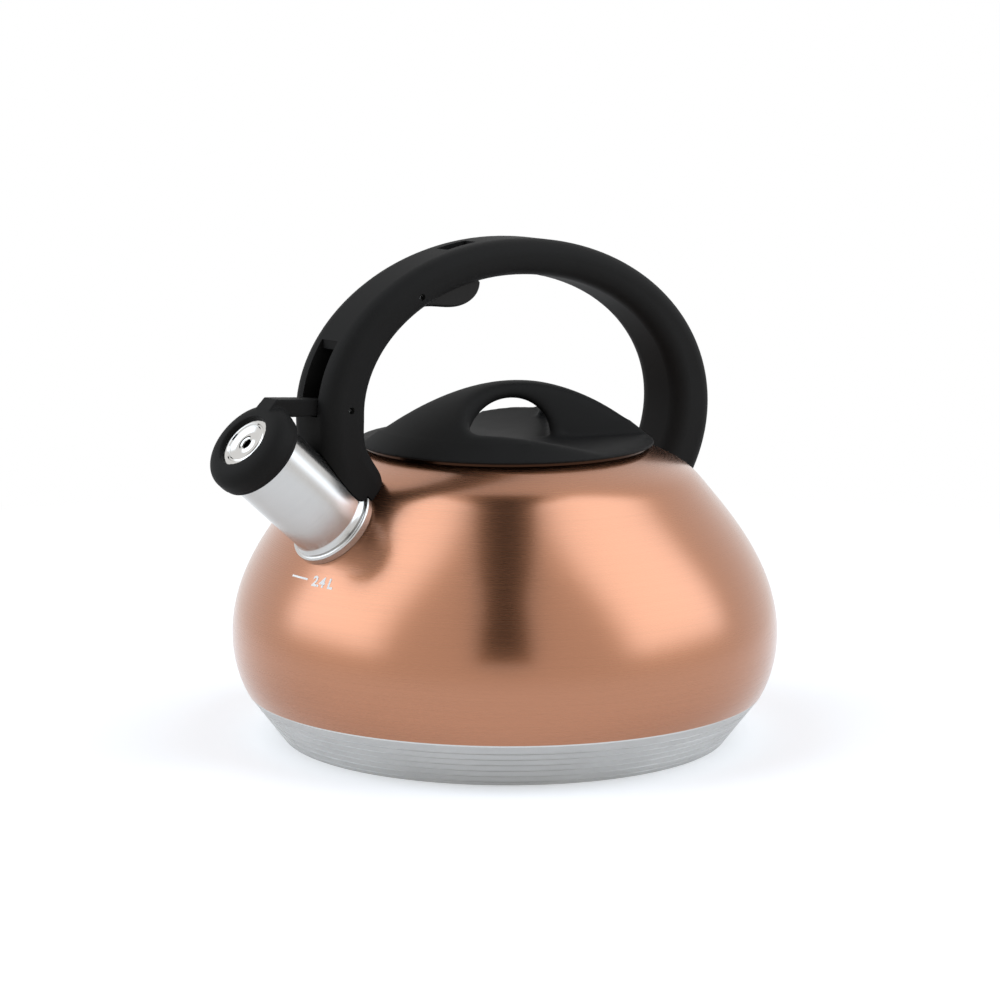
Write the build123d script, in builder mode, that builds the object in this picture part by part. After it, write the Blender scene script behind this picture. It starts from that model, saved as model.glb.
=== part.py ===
"""Stovetop whistling kettle: vessel, ribbed base, spout, trigger-lifted whistle cap, loop handle and lid.

Millimetres. Origin at the centre of the base's underside, +Z up, spout towards -X, handle in the XZ plane.
"""

from build123d import *
from math import cos, hypot, radians, sin, sqrt
import os

# Vessel
body_radius = 110.0
equator_height = 40.0
seam_radius = 104.3
seam_height = 18.8
flank_radius = 98.0
flank_height = 79.2
shoulder_radius = 80.0
shoulder_height = 102.7
neck_radius = 57.0
neck_foot_height = 117.3
neck_height = 0.9
body_wall = 0.8

# Base
base_radius = 89.9
cladding_wall = 1.5
cladding_floor = 1.2
groove_count = 6
groove_radius = 0.55
groove_first = 1.7
groove_pitch = 2.64
spreader_thickness = 4.0
spreader_inset = 0.6
pan_wall = 0.9
pan_flange = 0.6
seam_recess = 0.35
sheet_gap = 0.1

# Spout, measured along its axis from the vessel's skin
spout_height = 94.9
spout_angle = 40.6
spout_radius = 15.8
spout_wall = 0.9
spout_length = 47.2
spout_root = 5.0
flare_radius = 16.7
flare_edge = 0.5
flare_length = 2.4
collar_radius = 18.2
collar_height = 2.2
collar_edge = 1.1

# Whistle cap
cap_radius = 18.7
cap_skirt = 1.5
cap_ring_inset = 0.5
cap_bore_gap = 1.3
cap_depth = 10.4
cap_crown_height = 5.6
cap_crown_width = 6.4
seal_gap = 0.3
seal_height = 2.0
seal_width = 6.5
plate_radius = 10.8
plate_thickness = 0.6
plate_recess = 1.7
plate_fit = 0.05
whistle_hole_radius = 1.9
chamber_radius = 8.6
back_plate_radius = 12.6

# Cap lever
arm_width = 9.0
arm_thickness = 6.4
arm_rise = 4.4
arm_tip_rise = 1.0
arm_tip_drop = 4.5
hub_radius = 3.0
nose_radius = 1.6
tail_width = 2.4

# Handle
handle_top = 200.9
handle_apex = 4.1
handle_width = 26.0
handle_edge = 6.5
grip_depth = 14.4
leg_depth = 19.7
front_reach = 93.7
front_centre_height = 137.4
rear_reach = 106.9
rear_centre_height = 127.2
rear_inner_lift = 2.5
rear_leg_turn = 34.0
front_ankle = (77.1, 124.5)
front_heel = (71.2, 115.4)
front_toe = (69.3, 104.0)
front_shin = (90.0, 96.0)
handle_skin = 2.4
seat_gap = 0.1

# Trigger and linkage
trigger_pivot_reach = 48.7
trigger_pivot_height = 181.2
cap_pivot_inset = 10.5
cap_pivot_height = 140.1
trigger_throw = 16.0
trigger_arm = 12.5
cap_tail = 5.0
linkage_tilt = 20.0
pin_radius = 1.3
pin_fit = 0.05
pin_inset = 2.0
link_pin_radius = 1.2
link_eye_radius = 3.0
link_play = 0.35
push_gap = 0.15
rod_width = 3.2
rod_knee_offset = (-0.6, 5.0)
rod_bend_offset = (6.4, 16.5)
rod_thickness = 4.0
side_gap = 0.3
channel_width = 10.0
channel_hub_radius = 7.2
slot_bottom_height = 137.6
slot_top_height = 166.0
trigger_hub_radius = 5.0
trigger_hub_gap = 0.6
paddle_width = 14.0
paddle_heel = (6.0, -4.6)
paddle_belly = (22.0, -5.6)
paddle_lip = (30.0, -3.2)
paddle_tip = (34.0, 3.0)
paddle_brow = (30.5, 5.8)
paddle_end_gap = 0.8
paddle_edge = 1.2
window_start = 14.2
window_length = 14.6
window_width = 7.0
spring_width = 6.0
spring_thickness = 0.5
spring_gap = 0.15
spring_root = 8.0
spring_tip = 27.5

# Brackets and screws
bracket_thickness = 2.0
bracket_width = 16.0
bracket_length = 17.0
bracket_gap = 0.2
front_bracket_inset = 8.0
front_bracket_lean = 130.0
rear_bracket_outset = 6.5
rear_bracket_lean = 66.0
screw_radius = 1.5
screw_head_radius = 2.7
screw_head_height = 1.6
screw_head_gap = 0.3
screw_fit = 0.1
screw_land = 1.2
screw_reach = 3.0
screw_rise = 13.5
counterbore_reach = 20.0

# Lid
lid_overhang = 2.6
lid_rim = 0.8
lid_top = 143.6
lid_gap = 0.3
lid_turn = -10.0
scoop_height = 120.9
scoop_twist = 0.0054
scoop_tilt = 0.045
scoop_lowest = 120.3
scoop_radius = 35.0
tunnel_top = 136.8
tunnel_width = 33.8
tunnel_turn = -30.0
tunnel_shift = 1.1
arch_foot_width = 21.0
arch_foot_spread = 24.0
arch_crest_width = 11.0
arch_crest_spread = -2.0
cup_inset = 5.0
cup_depth = 8.0
cup_wall = 0.8
boss_radius = 4.0
boss_spacing = 50.0
lid_screw_radius = 1.5
lid_screw_head_radius = 2.8
lid_screw_head_height = 1.6
lid_screw_length = 7.0
lid_seal_height = 3.6
lid_seal_gap = 0.3
lid_seal_rise = 4.2

os.makedirs("parts", exist_ok=True)


def polar(centre, radius, angle):
    """Point round a centre in the XZ plane, at an angle in degrees from +X towards +Z."""
    return (centre[0] + radius * cos(radians(angle)), centre[1] + radius * sin(radians(angle)))


def shifted(point, across, up):
    """Point moved in the XZ plane."""
    return (point[0] + across, point[1] + up)


def finish(builder, name):
    """Label a finished piece and write it."""
    builder.part.label = name
    export_step(builder.part, f"parts/{name}.step")


# Radii that follow the shoulder and the neck
front_bracket_radius = shoulder_radius - front_bracket_inset
rear_bracket_radius = shoulder_radius + rear_bracket_outset
lid_radius = neck_radius + lid_overhang
cup_radius = neck_radius - cup_inset

# Vessel outline, from the seam up to the neck's foot, as radius and height
outline_points = [
    (seam_radius, seam_height),
    (body_radius, equator_height),
    (flank_radius, flank_height),
    (shoulder_radius, shoulder_height),
    (neck_radius, neck_foot_height),
]
outline_leans = [(0.48, 0.88), (-1.0, 0.42)]
with BuildLine() as outline:
    outer_curve = Spline(*outline_points, tangents=outline_leans)


def outline_at(test):
    """Point of the vessel's outline, going up from the seam, where a test first holds."""
    low, high = 0.0, 1.0
    for _ in range(40):
        middle = (low + high) / 2
        if test(outer_curve @ middle):
            high = middle
        else:
            low = middle
    return outer_curve @ high


def skin_points(depth, steps=40):
    """Points along the vessel's outline, moved inwards by a depth."""
    points = []
    for step in range(steps + 1):
        place = outer_curve @ (step / steps)
        lean = outer_curve % (step / steps)
        points.append((place.X - depth * lean.Y, place.Y + depth * lean.X))
    return points


def vessel_solid(growth):
    """Solid vessel, grown outwards by a distance."""
    skin = skin_points(-growth)
    with BuildPart() as solid:
        with BuildSketch(Plane.XZ):
            with BuildLine():
                side = Spline(*skin, tangents=outline_leans)
                Polyline(side @ 1, (0, skin[-1][1]), (0, skin[0][1]), side @ 0)
            make_face()
        revolve(axis=Axis.Z)
    return solid.part


# Spout axis, from where it leaves the vessel's skin
spout_foot = (-outline_at(lambda p: p.Y > spout_height).X, spout_height)
spout_along = polar((0, 0), 1, 180 - spout_angle)
spout_across = polar((0, 0), 1, 90 - spout_angle)
spout_origin = (spout_foot[0], 0, spout_foot[1])
spout_axis = Axis(spout_origin, (spout_along[0], 0, spout_along[1]))
spout_section = Plane(origin=spout_origin, x_dir=(spout_across[0], 0, spout_across[1]), z_dir=(0, -1, 0))


def spout_point(across, along):
    """Point in the XZ plane at distances across and along the spout's axis."""
    return tuple(f + across * c + along * a for f, c, a in zip(spout_foot, spout_across, spout_along))


def spout_ring(inner, outer, start, end):
    """Round solid on the spout's axis, hollow where its inner radius isn't zero."""
    with BuildPart() as ring:
        with BuildSketch(spout_section):
            with Locations((inner, start)):
                Rectangle(outer - inner, end - start, align=(Align.MIN, Align.MIN))
        revolve(axis=spout_axis)
    return ring.part


def cross_pin(place, radius, start, end):
    """Round solid along Y through a place in the XZ plane."""
    with BuildPart() as pin:
        with BuildSketch(Plane.XZ.offset(-end)):
            with Locations(place):
                Circle(radius)
        extrude(amount=end - start)
    return pin.part


vessel_clear = vessel_solid(seat_gap)

# Body shell
neck_top_height = neck_foot_height + neck_height
neck_bore_radius = neck_radius - body_wall
with BuildPart() as body_shell:
    with BuildSketch(Plane.XZ):
        with BuildLine():
            outside = Spline(*outline_points, tangents=outline_leans)
            inside = Spline(*skin_points(body_wall), tangents=outline_leans)
            Polyline(
                outside @ 1,
                (neck_radius, neck_top_height),
                (neck_bore_radius, neck_top_height),
                (neck_bore_radius, (inside @ 1).Y),
                inside @ 1,
            )
            Polyline(outside @ 0, ((inside @ 0).X, seam_height), inside @ 0)
        make_face()
    revolve(axis=Axis.Z)
    add(spout_ring(0, spout_radius + sheet_gap, -2 * spout_root, spout_root), mode=Mode.SUBTRACT)
finish(body_shell, "body_shell")

# Base cladding, with a ribbed cone
cone_slope = (seam_radius - base_radius) / seam_height
cone_spread = hypot(1, cone_slope)
cladding_top = seam_height - pan_flange


def cone_radius(height, depth):
    """Radius of the base's cone at a height, moved inwards by a depth."""
    return base_radius + cone_slope * height - depth * cone_spread


with BuildPart() as base_cladding:
    with BuildSketch(Plane.XZ):
        with BuildLine():
            Polyline(
                (0, 0),
                (base_radius, 0),
                (cone_radius(cladding_top, 0), cladding_top),
                (cone_radius(cladding_top, cladding_wall), cladding_top),
                (cone_radius(cladding_floor, cladding_wall), cladding_floor),
                (0, cladding_floor),
                close=True,
            )
        make_face()
        for groove in range(groove_count):
            groove_height = groove_first + groove * groove_pitch
            with Locations((cone_radius(groove_height, 0), groove_height)):
                Circle(groove_radius, mode=Mode.SUBTRACT)
    revolve(axis=Axis.Z)
finish(base_cladding, "base_cladding")

# Heat spreader
spreader_top = cladding_floor + spreader_thickness
with BuildPart() as heat_spreader:
    with BuildSketch(Plane.XY.offset(cladding_floor)):
        Circle(cone_radius(cladding_floor, cladding_wall) - spreader_inset)
    extrude(amount=spreader_thickness)
finish(heat_spreader, "heat_spreader")

# Base pan, with the flange that carries the body shell
pan_outside = cladding_wall + sheet_gap
pan_inside = pan_outside + pan_wall
flange_radius = seam_radius - seam_recess
with BuildPart() as base_pan:
    with BuildSketch(Plane.XZ):
        with BuildLine():
            Polyline(
                (0, spreader_top),
                (cone_radius(spreader_top, pan_outside), spreader_top),
                (cone_radius(cladding_top, pan_outside), cladding_top),
                (flange_radius, cladding_top),
                (flange_radius, seam_height),
                (cone_radius(seam_height, pan_inside), seam_height),
                (cone_radius(spreader_top + pan_wall, pan_inside), spreader_top + pan_wall),
                (0, spreader_top + pan_wall),
                close=True,
            )
        make_face()
    revolve(axis=Axis.Z)
finish(base_pan, "base_pan")

# Spout tube, with the swaged shoulder that seats on the collar
spout_bore_radius = spout_radius - spout_wall
flare_top = collar_height + flare_edge
with BuildPart() as spout_tube:
    with BuildSketch(spout_section):
        with BuildLine():
            Polyline(
                (spout_bore_radius, -spout_root),
                (spout_radius, -spout_root),
                (spout_radius, collar_height),
                (flare_radius, collar_height),
                (flare_radius, flare_top),
            )
            Spline(
                (flare_radius, flare_top),
                (spout_radius, flare_top + flare_length),
                tangents=[(-0.6, 1), (0, 1)],
            )
            Polyline(
                (spout_radius, flare_top + flare_length),
                (spout_radius, spout_length),
                (spout_bore_radius, spout_length),
                (spout_bore_radius, -spout_root),
            )
        make_face()
    revolve(axis=spout_axis)
finish(spout_tube, "spout_tube")

# Spout collar, trimmed to the vessel's skin
with BuildPart() as spout_collar:
    with BuildSketch(spout_section):
        with Locations((spout_radius + sheet_gap, -spout_root)):
            Rectangle(
                collar_radius - spout_radius - sheet_gap,
                spout_root + collar_height,
                align=(Align.MIN, Align.MIN),
            )
        fillet(vertices().group_by(Axis.Y)[-1].sort_by(Axis.X)[-1], collar_edge)
    revolve(axis=spout_axis)
    add(vessel_clear, mode=Mode.SUBTRACT)
finish(spout_collar, "spout_collar")

# Pivots and linkage, in the XZ plane
trigger_pivot = (-handle_apex - trigger_pivot_reach, trigger_pivot_height)
cap_pivot = (-handle_apex - front_reach + cap_pivot_inset, cap_pivot_height)
cap_throw = trigger_throw * trigger_arm / cap_tail
link_point = polar(trigger_pivot, trigger_arm, 180 + linkage_tilt - trigger_throw / 2)
link_lowest = polar(trigger_pivot, trigger_arm, 180 + linkage_tilt + trigger_throw / 2)
nose_point = polar(cap_pivot, cap_tail, linkage_tilt + cap_throw / 2)
rod_foot = polar(nose_point, nose_radius + push_gap + rod_width / 2, 90 + linkage_tilt)
rod_knee = shifted(rod_foot, *rod_knee_offset)
rod_bend = shifted(rod_foot, *rod_bend_offset)

# Whistle cap, with its lever
cap_back = spout_length - cap_skirt
cap_front = cap_back + cap_depth
cap_bore_radius = spout_radius + cap_bore_gap
seal_bottom = spout_length + seal_gap
seal_top = seal_bottom + seal_height
plate_top = cap_front - plate_recess
plate_bottom = plate_top - plate_thickness
arm_tip = spout_point(cap_radius + arm_tip_rise, cap_front - cap_skirt / 3)
arm_brow = spout_point(cap_radius - arm_tip_drop, cap_front)
arm_neck = (cap_pivot[0] - cap_pivot_inset, cap_pivot[1] + arm_rise)
with BuildPart() as spout_cap:
    with BuildSketch(spout_section):
        with BuildLine():
            Line((0, spout_length), (cap_radius, spout_length))
            Line((cap_radius, spout_length), (cap_radius, cap_front - cap_crown_height))
            EllipticalCenterArc(
                (cap_radius - cap_crown_width, cap_front - cap_crown_height),
                cap_crown_width,
                cap_crown_height,
                start_angle=0,
                arc_size=90,
            )
            Polyline((cap_radius - cap_crown_width, cap_front), (0, cap_front), (0, spout_length))
        make_face()
    revolve(axis=spout_axis)
    with BuildSketch(Plane.XZ):
        with BuildLine():
            Polyline(
                shifted(cap_pivot, 0, hub_radius),
                arm_neck,
                arm_tip,
                arm_brow,
                spout_point(cap_radius - arm_tip_drop, seal_top),
                spout_point(cap_radius - cap_ring_inset + push_gap, spout_length),
                spout_point(cap_radius - cap_ring_inset + push_gap, cap_back),
                shifted(arm_neck, 0, -arm_thickness),
                shifted(cap_pivot, 0, -hub_radius),
                close=True,
            )
        make_face()
    with BuildSketch(Plane.XZ):
        with BuildLine():
            Line(cap_pivot, nose_point)
        trace(line_width=tail_width)
        with Locations(cap_pivot):
            Circle(hub_radius)
        with Locations(nose_point):
            Circle(nose_radius)
    extrude(amount=arm_width / 2, both=True)
    with BuildSketch(spout_section):
        with BuildLine():
            Polyline(
                (0, spout_length),
                (cap_bore_radius, spout_length),
                (cap_bore_radius, seal_top),
                (back_plate_radius + plate_fit, seal_top),
                (back_plate_radius + plate_fit, seal_top + plate_thickness),
                (chamber_radius, seal_top + plate_thickness),
                (chamber_radius, plate_bottom),
                (plate_radius + plate_fit, plate_bottom),
                (plate_radius + plate_fit, cap_front + cap_crown_height),
                (0, cap_front + cap_crown_height),
                close=True,
            )
        make_face()
    revolve(axis=spout_axis, mode=Mode.SUBTRACT)
    add(cross_pin(cap_pivot, pin_radius + pin_fit, -arm_width, arm_width), mode=Mode.SUBTRACT)
finish(spout_cap, "spout_cap")

with BuildPart() as cap_ring:
    add(spout_ring(cap_bore_radius, cap_radius - cap_ring_inset, cap_back, spout_length))
finish(cap_ring, "cap_ring")

seal_radius = cap_bore_radius - sheet_gap
with BuildPart() as cap_seal:
    add(spout_ring(seal_radius - seal_width, seal_radius, seal_bottom, seal_top))
finish(cap_seal, "cap_seal")

with BuildPart() as whistle_back_plate:
    add(spout_ring(whistle_hole_radius, back_plate_radius, seal_top, seal_top + plate_thickness))
finish(whistle_back_plate, "whistle_back_plate")

with BuildPart() as whistle_front_plate:
    add(spout_ring(whistle_hole_radius, plate_radius, plate_bottom, plate_top))
finish(whistle_front_plate, "whistle_front_plate")

# Space kept clear round the spout
with BuildPart() as spout_clear:
    with BuildSketch(spout_section):
        with BuildLine():
            Polyline(
                (0, -2 * spout_root),
                (collar_radius + side_gap, -2 * spout_root),
                (collar_radius + side_gap, collar_height + side_gap),
                (flare_radius + side_gap, collar_height + side_gap),
                (flare_radius + side_gap, flare_top),
                (spout_radius + side_gap, flare_top + flare_length),
                (spout_radius + side_gap, spout_length),
                (0, spout_length),
                close=True,
            )
        make_face()
    revolve(axis=spout_axis)

# Handle brackets, flat tabs welded to the shoulder and reaching up into the legs
front_bracket_foot = outline_at(lambda p: p.Y > equator_height and p.X < front_bracket_radius)
rear_bracket_foot = outline_at(lambda p: p.Y > equator_height and p.X < rear_bracket_radius)


def bracket_plane(foot, lean):
    """Plane in a bracket's foot: x along the tab, z along the screw towards its head."""
    along = polar((0, 0), 1, lean)
    outward = polar((0, 0), 1, lean - 90)
    return Plane(
        origin=(foot[0], 0, foot[1]), x_dir=(along[0], 0, along[1]), z_dir=(outward[0], 0, outward[1])
    )


bracket_planes = {
    "front_bracket": bracket_plane((-front_bracket_foot.X, front_bracket_foot.Y), front_bracket_lean),
    "rear_bracket": bracket_plane((rear_bracket_foot.X, rear_bracket_foot.Y), rear_bracket_lean),
}


def bracket_tab(plane, growth):
    """Flat tab from inside the vessel up into a leg, grown all round by a gap."""
    with BuildPart() as tab:
        with BuildSketch(plane):
            with Locations((-bracket_length / 2, 0)):
                Rectangle(
                    1.5 * bracket_length + growth,
                    bracket_width + 2 * growth,
                    align=(Align.MIN, Align.CENTER),
                )
        extrude(amount=bracket_thickness / 2 + growth, both=True)
    return tab.part


def bracket_rod(plane, radius, start, end):
    """Round solid along a bracket's screw, by distances from the middle of the tab."""
    with BuildPart() as rod:
        with BuildSketch(plane.offset(start)):
            with Locations((screw_rise, 0)):
                Circle(radius)
        extrude(amount=end - start)
    return rod.part


screw_tip = -bracket_thickness / 2 - screw_reach
screw_seat = bracket_thickness / 2 + bracket_gap + screw_land
for bracket_name, plane in bracket_planes.items():
    with BuildPart() as bracket:
        add(bracket_tab(plane, 0))
        add(vessel_clear, mode=Mode.SUBTRACT)
        add(bracket_rod(plane, screw_radius + screw_fit, screw_tip, screw_seat), mode=Mode.SUBTRACT)
    finish(bracket, bracket_name)

with BuildPart() as handle_screws:
    for plane in bracket_planes.values():
        add(bracket_rod(plane, screw_radius, screw_tip, screw_seat))
        add(bracket_rod(plane, screw_head_radius, screw_seat, screw_seat + screw_head_height))
finish(handle_screws, "handle_screws")

# Handle: one loop from the spout round to the shoulder behind the lid, hollow where the linkage runs
front_centre = (-handle_apex, front_centre_height)
rear_inner_height = rear_centre_height + rear_inner_lift
rear_centre = (-handle_apex, rear_centre_height)
rear_inner_centre = (-handle_apex, rear_inner_height)
grip_under = handle_top - grip_depth
front_rise = handle_top - front_centre_height
front_inner_rise = grip_under - front_centre_height
front_inner_reach = front_reach - leg_depth
rear_inner_reach = rear_reach - leg_depth
rear_sweep = -90 - rear_leg_turn
handle_side = handle_width / 2
with BuildPart() as handle:
    with BuildSketch(Plane.XZ):
        with BuildLine():
            outer_front = EllipticalCenterArc(
                front_centre, front_reach, front_rise, start_angle=90, arc_size=90
            )
            outer_rear = EllipticalCenterArc(
                rear_centre, rear_reach, handle_top - rear_centre_height, start_angle=90, arc_size=rear_sweep
            )
            inner_front = EllipticalCenterArc(
                front_centre, front_inner_reach, front_inner_rise, start_angle=90, arc_size=90
            )
            inner_rear = EllipticalCenterArc(
                rear_inner_centre,
                rear_inner_reach,
                grip_under - rear_inner_height,
                start_angle=90,
                arc_size=rear_sweep,
            )
            Line(outer_rear @ 1, inner_rear @ 1)
            shin = Spline(outer_front @ 1, (-front_shin[0], front_shin[1]), tangents=[(0, -1), (0.3, -1)])
            calf = Spline(
                inner_front @ 1,
                (-front_ankle[0], front_ankle[1]),
                (-front_heel[0], front_heel[1]),
                (-front_toe[0], front_toe[1]),
                tangents=[(0, -1), (0, -1)],
            )
            Line(shin @ 1, calf @ 1)
        make_face()
    extrude(amount=handle_side, both=True)
    long_edges = handle.faces().filter_by(Axis.Y).edges().filter_by(lambda e: e.length > handle_width)
    fillet(long_edges, handle_edge)
    add(vessel_clear, mode=Mode.SUBTRACT)
    add(spout_clear.part, mode=Mode.SUBTRACT)
    for plane in bracket_planes.values():
        shank_bore = bracket_rod(plane, screw_radius + screw_fit, screw_tip - screw_fit, screw_seat)
        head_bore = bracket_rod(plane, screw_head_radius + screw_head_gap, screw_seat, counterbore_reach)
        add(bracket_tab(plane, bracket_gap), mode=Mode.SUBTRACT)
        add(shank_bore, mode=Mode.SUBTRACT)
        add(head_bore, mode=Mode.SUBTRACT)
    # Channel for the push rod, open to the front where the cap's lever comes out
    with BuildSketch(Plane.XZ):
        with BuildLine():
            roof = EllipticalCenterArc(
                front_centre, front_reach - handle_skin, front_rise - handle_skin, start_angle=90, arc_size=90
            )
            floor = EllipticalCenterArc(
                front_centre,
                front_inner_reach + handle_skin,
                front_inner_rise + handle_skin,
                start_angle=90,
                arc_size=90,
            )
            Line(roof @ 0, floor @ 0)
            Line(roof @ 1, floor @ 1)
        make_face()
        with Locations((trigger_pivot[0], handle_top)):
            Rectangle(front_reach, handle_top, align=(Align.MAX, Align.MAX), mode=Mode.INTERSECT)
        with Locations(cap_pivot):
            Circle(channel_hub_radius)
        with Locations((cap_pivot[0], slot_bottom_height)):
            Rectangle(
                2 * cap_pivot_inset, slot_top_height - slot_bottom_height, align=(Align.MAX, Align.MIN)
            )
    extrude(amount=channel_width / 2, both=True, mode=Mode.SUBTRACT)
    # Room for the trigger's fork at the end of its throw
    with BuildSketch(Plane.XZ):
        with Locations(trigger_pivot):
            Circle(trigger_hub_radius + trigger_hub_gap)
        with Locations(link_lowest):
            Circle(link_eye_radius + trigger_hub_gap)
        make_hull()
    extrude(amount=channel_width / 2, both=True, mode=Mode.SUBTRACT)
    # Pocket for the trigger, open under the grip
    with BuildSketch(Plane.XZ):
        with BuildLine():
            roof = EllipticalCenterArc(
                front_centre, front_reach - handle_skin, front_rise - handle_skin, start_angle=90, arc_size=90
            )
            Polyline(roof @ 0, front_centre, roof @ 1)
        make_face()
        with Locations((trigger_pivot[0], front_centre_height)):
            Rectangle(
                paddle_tip[0] + paddle_end_gap, handle_top, align=(Align.MIN, Align.MIN), mode=Mode.INTERSECT
            )
        with Locations(trigger_pivot):
            Circle(trigger_hub_radius + trigger_hub_gap)
    extrude(amount=paddle_width / 2 + side_gap, both=True, mode=Mode.SUBTRACT)
    # Window in the top of the grip
    with BuildSketch(Plane.XY.offset(handle_top)):
        with Locations((-handle_apex - window_start, 0)):
            Rectangle(window_length, window_width, align=(Align.MAX, Align.CENTER))
    extrude(amount=grip_depth / 2, both=True, mode=Mode.SUBTRACT)
    for pivot in (trigger_pivot, cap_pivot):
        add(cross_pin(pivot, pin_radius + pin_fit, -handle_width, handle_width), mode=Mode.SUBTRACT)
finish(handle, "handle")

# Pivot pins
for pin_name, pivot in {"trigger_pin": trigger_pivot, "cap_pin": cap_pivot}.items():
    with BuildPart() as pin:
        add(cross_pin(pivot, pin_radius, pin_inset - handle_side, handle_side - pin_inset))
    finish(pin, pin_name)

# Trigger, with the fork that drives the push rod
fork_width = channel_width - 2 * side_gap
fork_slot = rod_thickness + 2 * side_gap
with BuildPart() as trigger:
    with BuildSketch(Plane.XZ):
        with BuildLine():
            belly = Spline(
                shifted(trigger_pivot, 0, -trigger_hub_radius),
                shifted(trigger_pivot, *paddle_heel),
                shifted(trigger_pivot, *paddle_belly),
                shifted(trigger_pivot, *paddle_lip),
                shifted(trigger_pivot, *paddle_tip),
                tangents=[(1, 0), (0.1, 1)],
            )
            Polyline(
                belly @ 1,
                shifted(trigger_pivot, *paddle_brow),
                shifted(trigger_pivot, 0, trigger_hub_radius),
                belly @ 0,
            )
        make_face()
        with Locations(trigger_pivot):
            Circle(trigger_hub_radius)
    extrude(amount=paddle_width / 2, both=True)
    fillet(trigger.edges().filter_by(GeomType.BSPLINE), paddle_edge)
    with BuildSketch(Plane.XZ):
        with Locations(trigger_pivot):
            Circle(trigger_hub_radius)
        with Locations(link_point):
            Circle(link_eye_radius)
        make_hull()
    extrude(amount=fork_width / 2, both=True)
    with BuildSketch(Plane.XZ):
        with Locations(shifted(trigger_pivot, -trigger_hub_radius, 0)):
            Rectangle(2 * trigger_arm, 2 * trigger_arm, align=(Align.MAX, Align.CENTER))
    extrude(amount=fork_slot / 2, both=True, mode=Mode.SUBTRACT)
    add(cross_pin(trigger_pivot, pin_radius + pin_fit, -paddle_width, paddle_width), mode=Mode.SUBTRACT)
    add(cross_pin(link_point, link_pin_radius + sheet_gap, -paddle_width, paddle_width), mode=Mode.SUBTRACT)
finish(trigger, "trigger")

with BuildPart() as link_pin:
    add(cross_pin(link_point, link_pin_radius, -fork_width / 2, fork_width / 2))
finish(link_pin, "link_pin")

# Push rod, hung from the trigger's fork and pressing on the cap lever's nose
with BuildPart() as push_rod:
    with BuildSketch(Plane.XZ):
        with BuildLine():
            Spline(link_point, rod_bend, rod_knee, rod_foot)
        trace(line_width=rod_width)
        with Locations(rod_foot):
            Circle(rod_width / 2)
        with Locations(link_point):
            Circle(link_eye_radius)
            Circle(link_pin_radius + link_play, mode=Mode.SUBTRACT)
    extrude(amount=rod_thickness / 2, both=True)
finish(push_rod, "push_rod")

# Return spring, a leaf from the grip's roof to the paddle
paddle_slope = (paddle_brow[1] - trigger_hub_radius) / paddle_brow[0]
roof_height = front_centre_height + (front_rise - handle_skin) * sqrt(
    1 - ((trigger_pivot_reach - spring_root) / (front_reach - handle_skin)) ** 2
)
spring_start = (trigger_pivot[0] + spring_root, roof_height - spring_thickness)
spring_end = shifted(
    trigger_pivot,
    spring_tip,
    trigger_hub_radius + paddle_slope * spring_tip + spring_thickness / 2 + spring_gap,
)
with BuildPart() as return_spring:
    with BuildSketch(Plane.XZ):
        with BuildLine():
            Spline(spring_start, spring_end, tangents=[(1, 0.2), (1, -0.1)])
        trace(line_width=spring_thickness)
    extrude(amount=spring_width / 2, both=True)
finish(return_spring, "return_spring")

# Lid, turned about the axis it lifts along
lid_plane = Plane.XY.rotated((0, 0, lid_turn))
lid_section = Plane(origin=(0, 0, 0), x_dir=lid_plane.x_dir, z_dir=-lid_plane.y_dir)
tunnel_plane = Plane.XY.rotated((0, 0, lid_turn + tunnel_turn))
tunnel_section = Plane(origin=(0, 0, 0), x_dir=tunnel_plane.x_dir, z_dir=-tunnel_plane.y_dir)
lid_under = neck_top_height + lid_gap
lid_edge_height = lid_under + lid_rim
cup_bottom = lid_under - cup_depth
boss_places = [(-boss_spacing / 2, 0), (boss_spacing / 2, 0)]

scoop_span = lid_radius + scoop_radius

# Space above the twisted floor that runs through under the finger arch
with BuildPart() as scoop_space:
    for side in (1, -1):
        drop = side * scoop_twist * scoop_span**2
        middle = scoop_height + side * scoop_tilt * scoop_span
        with BuildSketch(lid_section.offset(side * scoop_span)):
            with BuildLine():
                Polyline(
                    (-scoop_span, middle + drop),
                    (scoop_span, middle - drop),
                    (scoop_span, lid_top + scoop_span),
                    (-scoop_span, lid_top + scoop_span),
                    close=True,
                )
            make_face()
    loft(ruled=True)
    with BuildSketch(Plane.XY.offset(scoop_lowest)):
        Circle(scoop_span)
    extrude(amount=lid_top, mode=Mode.INTERSECT)


def scoop_outline(turn, height, width, spread):
    """Plan of one hollow at a height, by the arch's width there and its spread at the rim."""
    centre = -arch_foot_width / 2 - scoop_radius
    radius = -centre - width / 2
    with BuildSketch(Plane.XY.offset(height).rotated((0, 0, lid_turn + turn))) as plan:
        with BuildLine():
            CenterArc((0, centre), radius, start_angle=90, arc_size=90)
            Polyline(
                (-radius, centre),
                (-radius, -scoop_span),
                (scoop_span, -scoop_span),
                (scoop_span, -spread),
                (0, centre + radius),
            )
        make_face()
    return plan.sketch


# Hollow either side of the arch, and the tunnel under it
with BuildPart() as scoops:
    for turn in (0, 180):
        low = scoop_outline(turn, lid_under, arch_foot_width, arch_foot_spread)
        high = scoop_outline(turn, lid_top, arch_crest_width, arch_crest_spread)
        loft(sections=[low, high], ruled=True)
    with BuildSketch(tunnel_section):
        with Locations((tunnel_shift, scoop_height)):
            Ellipse(tunnel_width / 2, tunnel_top - scoop_height)
    extrude(amount=scoop_radius, both=True)
    add(scoop_space.part, mode=Mode.INTERSECT)

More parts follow.
